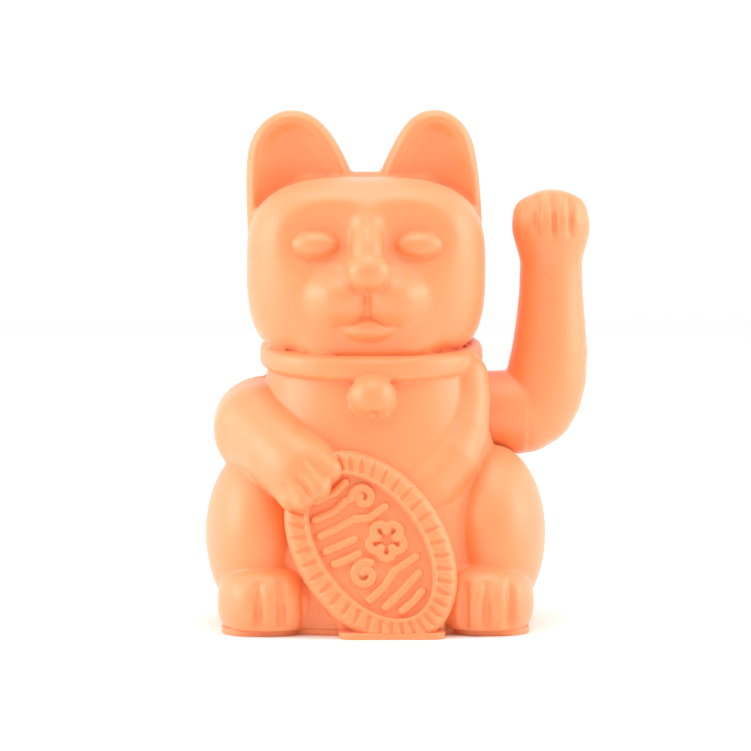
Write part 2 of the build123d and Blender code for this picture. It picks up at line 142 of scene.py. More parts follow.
def limb(*stations):
    """A round rope through stations of (x, y, z, radius)."""
    points = np.array(stations, float)

    def depth(x, y, z):
        result = None
        for a, b in zip(points[:-1], points[1:]):
            run = b[:3] - a[:3]
            px, py, pz = x - a[0], y - a[1], z - a[2]
            t = np.clip((px * run[0] + py * run[1] + pz * run[2]) / (run @ run + 1e-9), 0, 1)
            away = (px - t * run[0]) ** 2 + (py - t * run[1]) ** 2 + (pz - t * run[2]) ** 2
            d = np.sqrt(away) - (a[3] + (b[3] - a[3]) * t)
            result = d if result is None else np.minimum(result, d)
        return result

    radii = points[:, 3:4]
    return Form((points[:, :3] - radii).min(0), (points[:, :3] + radii).max(0), depth)


def drum(start_x, end_x, y, z, radius):
    """A cylinder along X."""

    def depth(px, py, pz):
        round_part = np.sqrt((py - y) ** 2 + (pz - z) ** 2) - radius
        return np.maximum(round_part, np.abs(px - (start_x + end_x) / 2) - (end_x - start_x) / 2)

    return Form((start_x, y - radius, z - radius), (end_x, y + radius, z + radius), depth)


def outline_depth(points, x, z):
    """Signed distance to a closed outline of corners in the XZ plane."""
    best = None
    inside = None
    for (ax, az), (bx, bz) in zip(points, points[1:] + points[:1]):
        ex, ez = bx - ax, bz - az
        t = np.clip(((x - ax) * ex + (z - az) * ez) / (ex * ex + ez * ez), 0, 1)
        d = (x - ax - t * ex) ** 2 + (z - az - t * ez) ** 2
        best = d if best is None else np.minimum(best, d)
        crosses = ((az > z) != (bz > z)) & (x < ex * (z - az) / (ez + 1e-9) + ax)
        inside = crosses if inside is None else inside ^ crosses
    return np.where(inside, -1, 1) * np.sqrt(best)


def rounded_corner(side, face):
    """Distance to the corner between two faces, each drawn in by the corner's radius."""
    outside = np.hypot(np.maximum(side, 0), np.maximum(face, 0))
    return np.minimum(np.maximum(side, face), 0) + outside


def plate(points, swell, y_low, y_high, edge):
    """An outline in the XZ plane, swollen by a radius, with depth along Y and rounded edges."""
    xs, zs = [p[0] for p in points], [p[1] for p in points]
    middle, half = (y_low + y_high) / 2, (y_high - y_low) / 2

    def depth(x, y, z):
        side = outline_depth(points, x, z) - swell + edge
        return rounded_corner(side, np.abs(y - middle) - half + edge) - edge

    low = (min(xs) - swell, y_low, min(zs) - swell)
    return Form(low, (max(xs) + swell, y_high, max(zs) + swell), depth)


def loft(stations, power, centre_x=0.0):
    """A squared oval through stations of (height, half width, front, back), with no corners between."""
    table = np.array(stations, float)
    rise, spread, count = 0.5, 4.0, 24
    heights = np.arange(table[0, 0], table[-1, 0] + rise, rise)
    weights = np.exp(-0.5 * (np.arange(-count, count + 1) * rise / spread) ** 2)
    columns = []
    for i in (1, 2, 3):
        raw = np.pad(np.interp(heights, table[:, 0], table[:, i]), count, mode="edge")
        columns.append(np.convolve(raw, weights / weights.sum(), mode="valid"))

    def depth(x, y, z):
        half_x, front, back = (np.interp(z, heights, column) for column in columns)
        half_y = np.where(y < 0, front, back)
        u, v = np.abs(x - centre_x) / half_x, np.abs(y) / half_y
        size = (u**power + v**power + 1e-9) ** (1 / power)
        slope = np.hypot(u ** (power - 1) / half_x, v ** (power - 1) / half_y)
        wall = (size - 1) / np.maximum(slope / size ** (power - 1), 0.4 / half_x)
        return np.maximum(wall, np.maximum(table[0, 0] - z, z - table[-1, 0]))

    half_x, front, back = table[:, 1:].max(0)
    low = (centre_x - half_x, -front, table[0, 0])
    return Form(low, (centre_x + half_x, back, table[-1, 0]), depth)


class Clay:
    """A block of signed distances, in millimetres, that forms are added to and cut from."""

    def __init__(self, low, high, step):
        self.step = step
        self.axes = [np.arange(a, b + step, step, dtype=np.float32) for a, b in zip(low, high)]
        self.depth = np.full([len(axis) for axis in self.axes], FAR, np.float32)

    def inside(self, wall):
        """A copy at half the fineness whose surface lies a wall's thickness further in."""
        copy = Clay.__new__(Clay)
        copy.step = self.step * 2
        copy.axes = [axis[::2] for axis in self.axes]
        copy.depth = self.depth[::2, ::2, ::2] + wall
        return copy

    def window(self, form, margin):
        """The part of the block near a form, and the form's distances there."""
        cuts = []
        for axis, low, high in zip(self.axes, form.low, form.high):
            cuts.append(slice(*np.searchsorted(axis, (low - margin, high + margin))))
        x, y, z = (axis[cut] for axis, cut in zip(self.axes, cuts))
        if not (len(x) and len(y) and len(z)):
            return None, None
        depth = form.depth(x[:, None, None], y[None, :, None], z[None, None, :])
        return tuple(cuts), depth.astype(np.float32)

    def add(self, form, blend=0.0):
        cuts, depth = self.window(form, REACH + blend)
        if cuts:
            self.depth[cuts] = soft_min(self.depth[cuts], depth, blend)

    def cut(self, form, blend=0.0):
        cuts, depth = self.window(form, REACH + blend)
        if cuts:
            self.depth[cuts] = -soft_min(-self.depth[cuts], depth, blend)

    def sample(self, points):
        """Distance at any points, read between the block's own."""
        spots = [(points[:, i] - self.axes[i][0]) / self.step for i in range(3)]
        cells = [np.clip(spot.astype(int), 0, len(axis) - 2) for spot, axis in zip(spots, self.axes)]
        parts = [spot - cell for spot, cell in zip(spots, cells)]
        total = np.zeros(len(points))
        for corner in range(8):
            bits = [(corner >> i) & 1 for i in range(3)]
            weight = np.ones(len(points))
            for bit, part in zip(bits, parts):
                weight = weight * (part if bit else 1 - part)
            total += weight * self.depth[tuple(c + bit for c, bit in zip(cells, bits))]
        return total

    def front(self, x, z):
        """Where the surface stands, seen from in front, at a place across and up."""
        ys = self.axes[1]
        line = self.sample(np.stack([np.full(len(ys), x), ys, np.full(len(ys), z)], axis=1))
        inside = np.flatnonzero(line < 0)
        if not len(inside):
            raise RuntimeError(f"no clay at {x}, {z}")
        i = inside[0]
        if i == 0:
            return float(ys[0])
        return float(ys[i - 1] + self.step * line[i - 1] / (line[i - 1] - line[i]))

    def score(self, stations, blend):
        """Cuts a groove in the front through stations of (across, up, radius, how deep it lies)."""
        self.cut(limb(*[(x, self.front(x, z) + sink, z, r) for x, z, r, sink in stations]), blend)

    def skin(self):
        """Points and faces of the surface, with the points drawn on to it."""
        grid = openvdb.FloatGrid()
        grid.copyFromArray(np.ascontiguousarray(self.depth))
        points, quads = grid.convertToQuads(isovalue=0.0)
        points = points.astype(float) * self.step + [axis[0] for axis in self.axes]
        reach = 0.5 * self.step
        for _ in range(3):
            steps = np.eye(3) * reach
            rises = [self.sample(points + step) - self.sample(points - step) for step in steps]
            slope = np.stack(rises, axis=1) / (2 * reach)
            size = np.maximum((slope**2).sum(1), 0.25)
            move = self.sample(points) / size
            points -= np.clip(move, -reach, reach)[:, None] * slope
        return points, quads


# ---- Meshes --------------------------------------------------------------------------------------
def mesh_object(name, points, faces):
    """An object from points in millimetres."""
    mesh = bpy.data.meshes.new(name)
    mesh.from_pydata((np.asarray(points) * MM).tolist(), [], np.asarray(faces).tolist())
    mesh.validate()
    piece = bpy.data.objects.new(name, mesh)
    bpy.context.scene.collection.objects.link(piece)
    return piece


def face_outward(piece):
    """Turns every face of a closed mesh outwards."""
    work = bmesh.new()
    work.from_mesh(piece.data)
    bmesh.ops.recalc_face_normals(work, faces=work.faces)
    if work.calc_volume(signed=True) < 0:
        bmesh.ops.reverse_faces(work, faces=work.faces)
    work.to_mesh(piece.data)
    work.free()


def clay_object(name, clay):
    points, quads = clay.skin()
    piece = mesh_object(name, points, quads)
    face_outward(piece)
    return piece


def cutter(low, high):
    """A box to cut with, between two corners in millimetres."""
    (x0, y0, z0), (x1, y1, z1) = low, high
    corners = [(x, y, z) for x in (x0, x1) for y in (y0, y1) for z in (z0, z1)]
    faces = [(0, 1, 3, 2), (4, 6, 7, 5), (0, 4, 5, 1), (2, 3, 7, 6), (0, 2, 6, 4), (1, 5, 7, 3)]
    piece = mesh_object("cutter", corners, faces)
    face_outward(piece)
    return piece


def combine(piece, tool, operation):
    """Cuts piece with a tool, or keeps what they share, and removes the tool."""
    modifier = piece.modifiers.new("cut", "BOOLEAN")
    modifier.operation, modifier.object, modifier.solver = operation, tool, "MANIFOLD"
    bake(piece)
    if not piece.data.polygons:
        raise RuntimeError(f"{piece.name} came out empty")
    bpy.data.objects.remove(tool)


def bake(piece):
    """Turns a piece's modifiers into its own mesh."""
    graph = bpy.context.evaluated_depsgraph_get()
    mesh = bpy.data.meshes.new_from_object(piece.evaluated_get(graph), depsgraph=graph)
    old = piece.data
    piece.modifiers.clear()
    piece.data = mesh
    bpy.data.meshes.remove(old)


def smooth(piece, angle=40.0):
    """Smooth shading, with edges sharper than an angle kept crisp."""
    piece.data.shade_smooth()
    piece.data.set_sharp_from_angle(angle=math.radians(angle))


def finish_piece(piece, material, body, nodes=()):
    """Gives a piece its material, hangs it on the empty of the body that it rides on, and hides the
    imported parts that it takes the place of.
    """
    piece.data.materials.clear()
    piece.data.materials.append(material)
    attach(piece, body)
    if nodes:
        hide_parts(*nodes)


# ---- Forms of the figurine -----------------------------------------------------------------------
EARS = (  # side, and the ear's corners as (out from the middle of the head, up)
    (
        -1,
        [
            (25.4, 104), (26.5, 118), (26.7, 132), (26.0, 139),
            (21.8, 142.6), (17.0, 139.0), (11.2, 127.6), (4.6, 104),
        ],
    ),
    (
        1,
        [
            (25.4, 104), (25.8, 118), (24.5, 133), (23.0, 140),
            (19.8, 142.6), (16.8, 139.0), (11.4, 128.0), (4.6, 104),
        ],
    ),
)
EAR_SWELL, EAR_RIM = 8.5, 3.0
COLLAR_Z, COLLAR_SLOPE, COLLAR_R = 79.0, 0.12, 2.6
TORSO = [  # height, half width, front, back
    (-4.0, 41.5, 35.0, 40.0),
    (4.0, 41.8, 35.2, 40.4),
    (16.0, 41.8, 35.6, 41.0),
    (28.0, 40.5, 35.0, 40.0),
    (44.0, 37.5, 33.5, 37.0),
    (60.0, 34.4, 31.6, 32.5),
    (72.0, 32.0, 29.2, 28.5),
    (79.0, 30.2, 26.4, 27.0),
]


def softened(points):
    """An outline with its corners cut back twice."""
    for _ in range(2):
        cut = []
        for (ax, az), (bx, bz) in zip(points, points[1:] + points[:1]):
            cut += [(ax + (bx - ax) * share, az + (bz - az) * share) for share in (0.25, 0.75)]
        points = cut
    return points


def add_head(clay, front):
    """The ears, hollow in front, and the squared round head flush with them."""
    for side, corners in EARS:
        outline = softened([(HEAD_X + side * x, z) for x, z in corners])
        clay.add(plate(outline, EAR_SWELL, -7.0, 7.0, 5.0), 1.5)
        if front:
            clay.cut(plate(outline, EAR_SWELL - EAR_RIM, -30.0, -3.2, 6.0), 2.4)
            clay.cut(ovoid((HEAD_X + side * 21.5, -7.0, 124.0), (9.5, 6.0, 15.0)), 3.0)
    clay.add(limb((HEAD_X - 16.0, 1.0, 126.4, 6.0), (HEAD_X + 16.0, 1.0, 126.4, 6.0)), 1.0)
    clay.add(squared((HEAD_X, -1.4, 104.2), (35.0, 26.8, 26.4), 3.1), 0.6)
    jaw_depth = 26.4 if front else 22.0
    clay.add(squared((HEAD_X + 0.2, -1.4, 92.2), (32.8, jaw_depth, 15.2), 3.0), 3.0)


def add_face(clay):
    """Chin, eye sockets, eyes, muzzle, nose, lower lip and mouth."""
    clay.add(rounded_box((HEAD_X, -12.0, 89.4), (19.0, 15.4, 13.2), 7.5), 4.0)
    for side in SIDES:
        clay.cut(ovoid((HEAD_X + side * 12.3, -35.4, 113.4), (13.6, 12.4, 11.2)), 6.0)
    clay.cut(ovoid((HEAD_X, -31.6, 82.8), (15.0, 3.6, 3.4)), 4.0)
    for side in SIDES:
        eye_x, slant = HEAD_X + side * 15.0, (0, 0, side * 9)
        clay.cut(ovoid((eye_x, -27.4, 110.8), (8.0, 3.2, 4.7), slant), 1.2)
        clay.add(ovoid((eye_x, -22.5, 110.7), (7.3, 4.9, 4.1), slant), 0.1)
        clay.add(ovoid((HEAD_X + side * 7.6, -24.0, 95.4), (9.4, 9.6, 8.0)), 2.6)
    bridge = [(-19.2, 121.5, 3.2), (-24.4, 115.5, 3.8), (-28.0, 109.5, 4.3), (-30.2, 104.0, 4.8)]
    clay.add(limb(*[(HEAD_X, y, z, r) for y, z, r in bridge]), 2.2)
    clay.add(ovoid((HEAD_X + 0.3, -31.0, 102.8), (6.2, 5.2, 5.2)), 0.8)
    clay.add(ovoid((HEAD_X + 0.3, -25.2, 86.9), (8.0, 6.0, 3.9)), 0.4)
    clay.score([(HEAD_X, z, 0.7, 0.1) for z in (98.2, 96.0, 93.6, 91.4)], 0.9)
    half_mouth = [(2.4, 89.9), (4.8, 88.5), (7.4, 87.5), (9.4, 87.2)]
    mouth = [(-x, z) for x, z in reversed(half_mouth)] + [(0.0, 91.0)] + half_mouth
    clay.score([(HEAD_X + x, z, 0.5, 0.1) for x, z in mouth], 0.5)


def merge(clay, other, blend):
    """Adds a smaller block of clay, shaped on its own, to a larger one."""
    x, y, z = other.axes

    def depth(px, py, pz):
        shape = np.broadcast_shapes(px.shape, py.shape, pz.shape)
        points = np.stack([np.broadcast_to(v, shape).ravel() for v in (px, py, pz)], axis=1)
        return other.sample(points).reshape(shape)

    low, high = (x[0] + 6, y[0] + 6, z[0] + 6), (x[-1] - 6, y[-1] - 6, z[-1] - 6)
    clay.add(Form(low, high, depth), blend)


def collar_form():
    """A plain round-edged band, lower in front, and the neck that fills it."""
    stations = [(60.0, 30.2, 29.2, 27.2), (90.0, 30.2, 29.2, 27.2)]
    ring = loft(stations, 2.3, -0.8)

    def depth(x, y, z):
        across = ring.depth(x, y, np.full_like(z, 75.0))
        along = np.abs(z - COLLAR_Z - COLLAR_SLOPE * y)
        band = np.hypot(across, np.maximum(along - 1.0, 0)) - COLLAR_R
        neck = np.maximum(across, along - 3.0)
        return np.minimum(band, neck)

    return Form((-36, -34, 71), (35, 33, 87), depth)


def add_trunk(clay):
    """The forms that cross the seam, which both shells share: trunk, shoulders, thighs and collar."""
    clay.add(loft(TORSO, 2.4))
    upper_arm = [(-33.4, 2.0, 57.8, 13.8), (-33.4, 0.0, 57.8, 13.8), (-33.2, -10.0, 56.6, 13.6)]
    clay.add(limb(*upper_arm), 0.8)
    clay.add(ovoid((19.4, 1.0, 57.0), (15.6, 18.0, 19.0)), 1.0)
    for x in (-33.8, 34.4):
        clay.add(ovoid((x, -9.5, 26.8), (15.6, 25.0, 25.6)), 0.6)
    clay.add(collar_form())


def add_front_body(clay):
    """The trunk, the band of the raised arm's shoulder, the bell, the feet and the resting arm."""
    add_trunk(clay)
    shoulder = [
        (26.4, -14.5, 73.0, 6.4), (27.0, -16.8, 66.0, 6.4), (25.4, -19.6, 58.0, 7.4),
        (21.5, -22.5, 50.0, 8.8), (15.5, -25.0, 42.5, 9.4), (7.0, -26.0, 36.0, 9.4),
    ]
    clay.add(limb(*shoulder), 0.8)
    clay.add(ovoid((-1.1, -31.4, 67.6), (6.7, 6.7, 6.6)), 0.2)
    clay.cut(ovoid((-0.8, -36.0, 62.6), (1.5, 2.2, 1.5)), 1.0)
    for foot_x, grooves in ((-31.0, (-33.3, -26.9, -20.7)), (31.2, (25.1, 31.2, 37.8))):
        clay.add(squared((foot_x, -21.4, 8.6), (14.5, 18.8, 12.2), 2.4), 0.8)
        for x in grooves:
            clay.score([(x, 14.8, 0.4, 0.2), (x, 11.0, 0.9, 0.5), (x, 3.6, 0.9, 0.5)], 2.2)
    foot_of_coin = [(-8.9, 1.6), (17.8, 1.6), (19.8, 12.0), (19.4, 16.0), (-17.2, 16.0)]
    clay.add(plate(foot_of_coin, 1.5, -36.6, -20.0, 1.5), 0.5)
    add_resting_arm(clay)


def add_resting_arm(clay):
    """The arm that reaches down to the coin, and its paw of four toes."""
    arm = Clay((-56, -50, 26), (0, 20, 84), clay.step)
    stations = [
        (-33.4, 0.0, 57.8, 13.8), (-33.2, -10.0, 56.6, 13.6),
        (-27.0, -24.6, 51.2, 11.2), (-21.0, -31.4, 46.6, 9.0),
    ]
    arm.add(limb(*stations), 3.0)
    arm.add(ovoid((-21.6, -32.8, 47.0), (9.2, 6.8, 9.2)), 6.0)
    toes = [  # knuckle, tip, radius
        ((-17.4, -34.8, 51.4), (-13.4, -37.2, 47.4), 4.0),
        ((-21.0, -36.4, 48.6), (-16.6, -39.2, 42.8), 4.2),
        ((-24.6, -36.4, 45.0), (-20.8, -39.4, 39.8), 3.9),
        ((-26.6, -35.0, 41.8), (-24.4, -37.6, 38.8), 3.2),
    ]
    for knuckle, tip, radius in toes:
        arm.add(limb((*knuckle, radius), (*tip, radius - 0.3)), 0.7)
    creases = [  # both ends, as (across, up)
        ((-19.2, 50.2), (-14.8, 44.8)),
        ((-22.8, 46.8), (-18.6, 41.0)),
        ((-25.7, 43.2), (-22.8, 39.4)),
    ]
    for (ax, az), (bx, bz) in creases:
        middle = ((ax + bx) / 2, (az + bz) / 2, 0.5, 0.2)
        arm.score([(ax, az, 0.4, 0.2), middle, (bx, bz, 0.4, 0.2)], 1.0)
    merge(clay, arm, 0.5)


def add_rear_body(clay):
    """The trunk, the back of the resting arm's shoulder, the haunches and the curled tail."""
    add_trunk(clay)
    clay.add(ovoid((-31.4, 3.0, 56.0), (15.6, 20.0, 16.0)), 1.0)
    for side in SIDES:
        clay.add(ovoid((side * 30.0, 12.0, 22.0), (14.5, 22.0, 22.0)), 4.0)
    tail = [
        (16.0, 33.0, 6.0, 5.0), (7.0, 38.4, 8.5, 6.2),
        (-6.0, 39.0, 15.0, 6.0), (-11.0, 36.0, 24.0, 4.6),
    ]
    clay.add(limb(*tail), 1.2)


def body_clay(front):
    """One half of the body in clay, with a little to spare past the seam."""
    low_y, high_y = (-48.0, 5.0) if front else (-5.0, 48.0)
    clay = Clay((-54, low_y, -6), (54, high_y, 154), BODY_STEP)
    add_head(clay, front)
    if front:
        add_face(clay)
        add_front_body(clay)
    else:
        add_rear_body(clay)
    clay.cut(rounded_box((0, 0, -54), (90, 90, 50), 0.5))
    clay.cut(drum(POCKET_X, 80.0, 0.0, PIVOT_Z, POCKET_R))
    return clay


def body_cavity(clay):
    """The inside of a shell, straight at the mouth and stepped round the arm's pocket."""
    inside = clay.inside(BODY_WALL)
    mouth = int(np.searchsorted(inside.axes[2], 7.0))
    inside.depth[:, :, :mouth] = inside.depth[:, :, mouth : mouth + 1] + 2.2
    inside.cut(drum(POCKET_X - BODY_WALL, 60.0, 0.0, PIVOT_Z, POCKET_R + BODY_WALL))
    return inside


def shell_piece(name, front):
    """One moulded half of the body, cut on the seam and at the base, and hollow."""
    clay = body_clay(front)
    piece = clay_object(name, clay)
    cavity = clay_object("cavity", body_cavity(clay))
    low_y, high_y = (-70.0, 0.0) if front else (0.0, 70.0)
    combine(piece, cutter((-70, low_y, BASE_TOP), (70, high_y, 170)), "INTERSECT")
    combine(piece, cavity, "DIFFERENCE")
    smooth(piece)
    return piece


# ---- The coin ------------------------------------------------------------------------------------
COIN_CENTRE = (-1.6, -33.4, 25.1)
COIN_LONG, COIN_WIDE, COIN_HALF = 30.1, 21.0, 6.4  # half its height, width and thickness
COIN_TILT, COIN_LEAN = 35.7, 8.0  # degrees to the side and back
TICKS = 40


def coin_rim(angle, inset):
    """A point on the coin's outline in its own plane, drawn in by an inset."""
    return (COIN_WIDE - inset) * math.cos(angle), (COIN_LONG - inset) * math.sin(angle)


def oval_disc(inset, y_low, y_high, edge):
    """An oval slab of the coin's outline, drawn in by an inset, with rounded edges."""
    half_x, half_z = COIN_WIDE - inset, COIN_LONG - inset
    middle, half = (y_low + y_high) / 2, (y_high - y_low) / 2

    def depth(x, y, z):
        size = np.hypot(x / half_x, z / half_z)
        slope = np.hypot(x / half_x**2, z / half_z**2) / np.maximum(size, 1e-6)
        side = (size - 1) / np.maximum(slope, 0.4 / half_z) + edge
        return rounded_corner(side, np.abs(y - middle) - half + edge) - edge

    return Form((-half_x, y_low, -half_z), (half_x, y_high, half_z), depth)


def coin_piece():
    """The oval coin with a ticked border and a sunk panel that holds a cloud scroll."""
    clay = Clay((-23, -9, -32), (23, 9, 32), COIN_STEP)
    face = -COIN_HALF
    clay.add(oval_disc(0.0, face, COIN_HALF, 3.2))
    clay.cut(oval_disc(6.8, face - 6.0, face + 1.5, 0.6), 0.6)
    for i in range(TICKS):
        angle = 2 * math.pi * (i + 0.5) / TICKS
        (ax, az), (bx, bz) = coin_rim(angle, 5.4), coin_rim(angle, 1.0)
        clay.cut(limb((ax, face, az, 0.75), (bx, face + 0.5, bz, 0.35)), 0.5)
    bead = [coin_rim(2 * math.pi * i / 60, 6.6) for i in range(61)]
    clay.add(limb(*[(x, face + 0.1, z, 0.55) for x, z in bead]), 0.4)
    for stroke in scroll_strokes():
        clay.add(limb(*[(x, face + 1.1, z, 1.3) for x, z in stroke]), 0.5)
    piece = clay_object("coin", clay)
    lean = Euler((math.radians(-COIN_LEAN), 0, 0)).to_matrix()
    tilt = Euler((0, math.radians(-COIN_TILT), 0)).to_matrix()
    place = Matrix.Translation(Vector(COIN_CENTRE) * MM) @ (lean @ tilt).to_4x4()
    piece.data.transform(place)
    combine(piece, cutter((-60, -60, BASE_TOP), (60, -26, 90)), "INTERSECT")
    smooth(piece)
    return piece


def arc(cx, cz, radius, start, end):
    """Part of a circle, between two angles in degrees."""
    steps = [math.radians(start + (end - start) * i / 8) for i in range(9)]
    return [(cx + radius * math.cos(a), cz + radius * math.sin(a)) for a in steps]


def spiral(cx, cz, radius, start, turns):
    """A scroll that winds inwards."""
    points = []
    for i in range(22):
        share = i / 21
        a = math.radians(start) + 2 * math.pi * turns * share
        r = radius * (1 - 0.72 * share)
        points.append((cx + r * math.cos(a), cz + r * math.sin(a)))
    return points


def scroll_strokes():
    """An abstract ornament of bars, cloud scrolls and a five-petalled blossom."""
    strokes = [
        [(-5.4, 19.4), (0.4, 18.2), (4.6, 18.8)],
        [(-8.2, 15.2), (-2.4, 14.0), (1.4, 14.6)],
        spiral(6.2, 12.4, 3.5, 150, -1.1),
        [(-9.8, 10.6), (-4.4, 9.6), (0.6, 9.0), (4.4, 6.8), (9.8, 6.8)],
        [(-11.0, 6.2), (-6.4, 5.2), (-2.6, 4.4)],
        [(-11.2, 1.8), (-7.0, 0.8), (-4.0, 0.4)],
    ]
    for angle in range(90, 450, 72):
        x = 4.6 + 3.3 * math.cos(math.radians(angle))
        z = -1.2 + 3.3 * math.sin(math.radians(angle))
        strokes.append(arc(x, z, 1.9, angle - 125, angle + 125))
    strokes += [
        spiral(-6.0, -5.6, 3.9, 30, 1.2),
        [(-9.0, -12.0), (-3.6, -11.4), (1.6, -9.4), (8.6, -9.8)],
        [(-6.6, -16.2), (-0.6, -15.4), (6.6, -14.0)],
        [(-3.4, -19.8), (0.8, -19.6), (4.2, -18.6)],
    ]
    return strokes


# ---- The swinging arm ----------------------------------------------------------------------------
PAW_X, PAW_R = 52.3, 9.0
SHAFT_R, SHAFT_END = 1.5, 39.4
BOSS_R, BOSS_END = 4.0, 40.4


def arm_clay():
    """Root, elbow, forearm and paw, with four fingers and the grooves between them."""
    clay = Clay((24, -20, 44), (68, 20, 132), ARM_STEP)
    forearm = [
        (40.0, 0, PIVOT_Z, 12.2), (44.4, 0, 61.5, 12.2), (47.6, 0, 63.2, 12.0), (49.8, 0, 67.0, 11.9),
        (51.0, 0, 72.0, 11.8), (51.9, 0, 79.0, 11.2), (52.2, 0, 88.0, 10.2), (52.3, 0, 97.0, 9.4),
        (52.3, 0, 106.0, 9.1), (52.3, -0.6, 114.0, 9.6),
    ]
    clay.add(limb(*forearm))
    clay.add(drum(29.4, 44.0, 0.0, PIVOT_Z, 12.2), 1.0)
    clay.add(ovoid((52.2, -1.0, 117.2), (10.3, 9.6, 9.7)), 6.0)
    for x in (44.8, 49.8, 54.8, 58.4):
        across = x - PAW_X
        drop = 0.035 * across**2
        out = -math.sqrt(PAW_R**2 - across**2)
        tip = (x, out + 3.4, 122.6 - drop, 3.1)
        knuckle = (x, out + 1.6, 118.0 - drop, 3.1)
        clay.add(limb(tip, knuckle, (PAW_X + 0.8 * across, out + 3.0, 108.0, 1.8)), 3.0)
    for x, top, low in ((47.2, 124.4, 114.0), (52.3, 125.2, 112.5), (57.0, 124.2, 114.0)):
        clay.score([(x, top, 0.7, 0.1), (x, 121.0, 0.8, 0.3), (x, low, 0.3, 0.1)], 1.6)
    clay.cut(drum(20.0, 29.4, 0.0, PIVOT_Z, 30.0))
    return clay


def arm_piece(name, clay, front):
    """One moulded half of the arm, with the boss that grips the shaft."""
    piece = clay_object(name, clay)
    cavity = clay.inside(ARM_WALL)
    cavity.cut(drum(20.0, BOSS_END, 0.0, PIVOT_Z, BOSS_R))
    low_y, high_y = (-40.0, 0.0) if front else (0.0, 40.0)
    combine(piece, cutter((0, low_y, 0), (90, high_y, 170)), "INTERSECT")
    combine(piece, clay_object("cavity", cavity), "DIFFERENCE")
    bore = Clay((18, -4, PIVOT_Z - 4), (42, 4, PIVOT_Z + 4), 0.3)
    bore.add(drum(20.0, SHAFT_END, 0.0, PIVOT_Z, SHAFT_R))
    combine(piece, clay_object("bore", bore), "DIFFERENCE")
    smooth(piece)
    return piece


# ---- Shader nodes --------------------------------------------------------------------------------
BODY_PLASTIC = "peach_plastic"


class Value:
    """A node socket that takes part in arithmetic."""

    def __init__(self, tree, socket):
        self.tree, self.socket = tree, socket

    def math(self, operation, first, second):
        """A Math node on two values, each a socket's or a number."""
        node = self.tree.nodes.new("ShaderNodeMath")
        node.operation = operation
        for slot, value in zip(node.inputs, (first, second)):
            if isinstance(value, Value):
                self.tree.links.new(value.socket, slot)
            else:
                slot.default_value = value
        return Value(self.tree, node.outputs[0])

    def __add__(self, other):
        return self.math("ADD", self, other)

    def __radd__(self, other):
        return self.math("ADD", other, self)

    def __sub__(self, other):
        return self.math("SUBTRACT", self, other)

    def __rsub__(self, other):
        return self.math("SUBTRACT", other, self)

    def __mul__(self, other):
        return self.math("MULTIPLY", self, other)

    def __rmul__(self, other):
        return self.math("MULTIPLY", other, self)


class Finish:
    """A material in the making."""

    def __init__(self, name):
        self.material = bpy.data.materials.new(name)
        self.material.use_nodes = True
        self.tree = self.material.node_tree
        self.tree.nodes.clear()
        self.place = self.node("ShaderNodeTexCoord")["Object"]
        self.shader = self.tree.nodes.new("ShaderNodeBsdfPrincipled")
        output = self.tree.nodes.new("ShaderNodeOutputMaterial")
        self.tree.links.new(self.shader.outputs[0], output.inputs[0])

    def node(self, kind, settings=None, **sockets):
        """Makes any node: its settings first, then the values or links of its sockets."""
        node = self.tree.nodes.new(kind)
        for key, value in (settings or {}).items():
            if key == "stops":
                ramp = node.color_ramp
                for i, (position, colour) in enumerate(value):
                    stop = ramp.elements[i] if i < 2 else ramp.elements.new(position)
                    stop.position, stop.color = position, colour
            else:
                setattr(node, key, value)
        for key, value in sockets.items():
            matches = [s for s in node.inputs if s.name == key.replace("_", " ") and s.enabled]
            self.feed(matches[0], value)
        return {s.name: Value(self.tree, s) for s in node.outputs if s.enabled}

    def feed(self, socket, value):
        if isinstance(value, Value):
            self.tree.links.new(value.socket, socket)
        else:
            socket.default_value = value

    def set(self, **sockets):
        for key, value in sockets.items():
            self.feed(self.shader.inputs[key.replace("_", " ")], value)

    def noise(self, scale, detail=3.0):
        return self.node("ShaderNodeTexNoise", Vector=self.place, Scale=scale, Detail=detail)["Fac"]

    def mix(self, share, first, second):
        """A colour between two, by a share from 0 to 1."""
        settings = {"data_type": "RGBA"}
        colours = {"A": (*first, 1), "B": (*second, 1)}
        return self.node("ShaderNodeMix", settings, Factor=share, **colours)["Result"]

    def bump(self, height, distance, strength):
        bump = self.node("ShaderNodeBump", Height=height, Distance=distance, Strength=strength)
        self.set(Normal=bump["Normal"])


def moulded_plastic(colours):
    """Matt moulded plastic: a fine spark-eroded grain and a trace of cloudiness in its colour."""
    finish = Finish(BODY_PLASTIC)
    cloud = finish.noise(28.0, 2.0)
    finish.set(
        Base_Color=finish.mix(cloud, colours.body, colours.body_shade),
        Roughness=0.48 + 0.08 * finish.noise(900.0),
        Subsurface_Weight=0.25,
        Subsurface_Radius=(1.0, 0.3, 0.1),
        Subsurface_Scale=0.0016,
        Specular_IOR_Level=1.0,
        Coat_Weight=0.8,
        Coat_Roughness=0.5,
        Sheen_Weight=0.2,
        Sheen_Roughness=0.5,
    )
    finish.bump(finish.noise(1500.0, 2.0), 0.00003, 0.5)
    return finish.material


def plain_plastic(name, colour, shade, roughness):
    """Smooth plastic, lacquer or insulation with a faint unevenness."""
    finish = Finish(name)
    finish.set(
        Base_Color=finish.mix(finish.noise(60.0), colour, shade),
        Roughness=roughness + 0.1 * finish.noise(400.0),
    )
    finish.bump(finish.noise(1200.0), 0.00002, 0.4)
    return finish.material


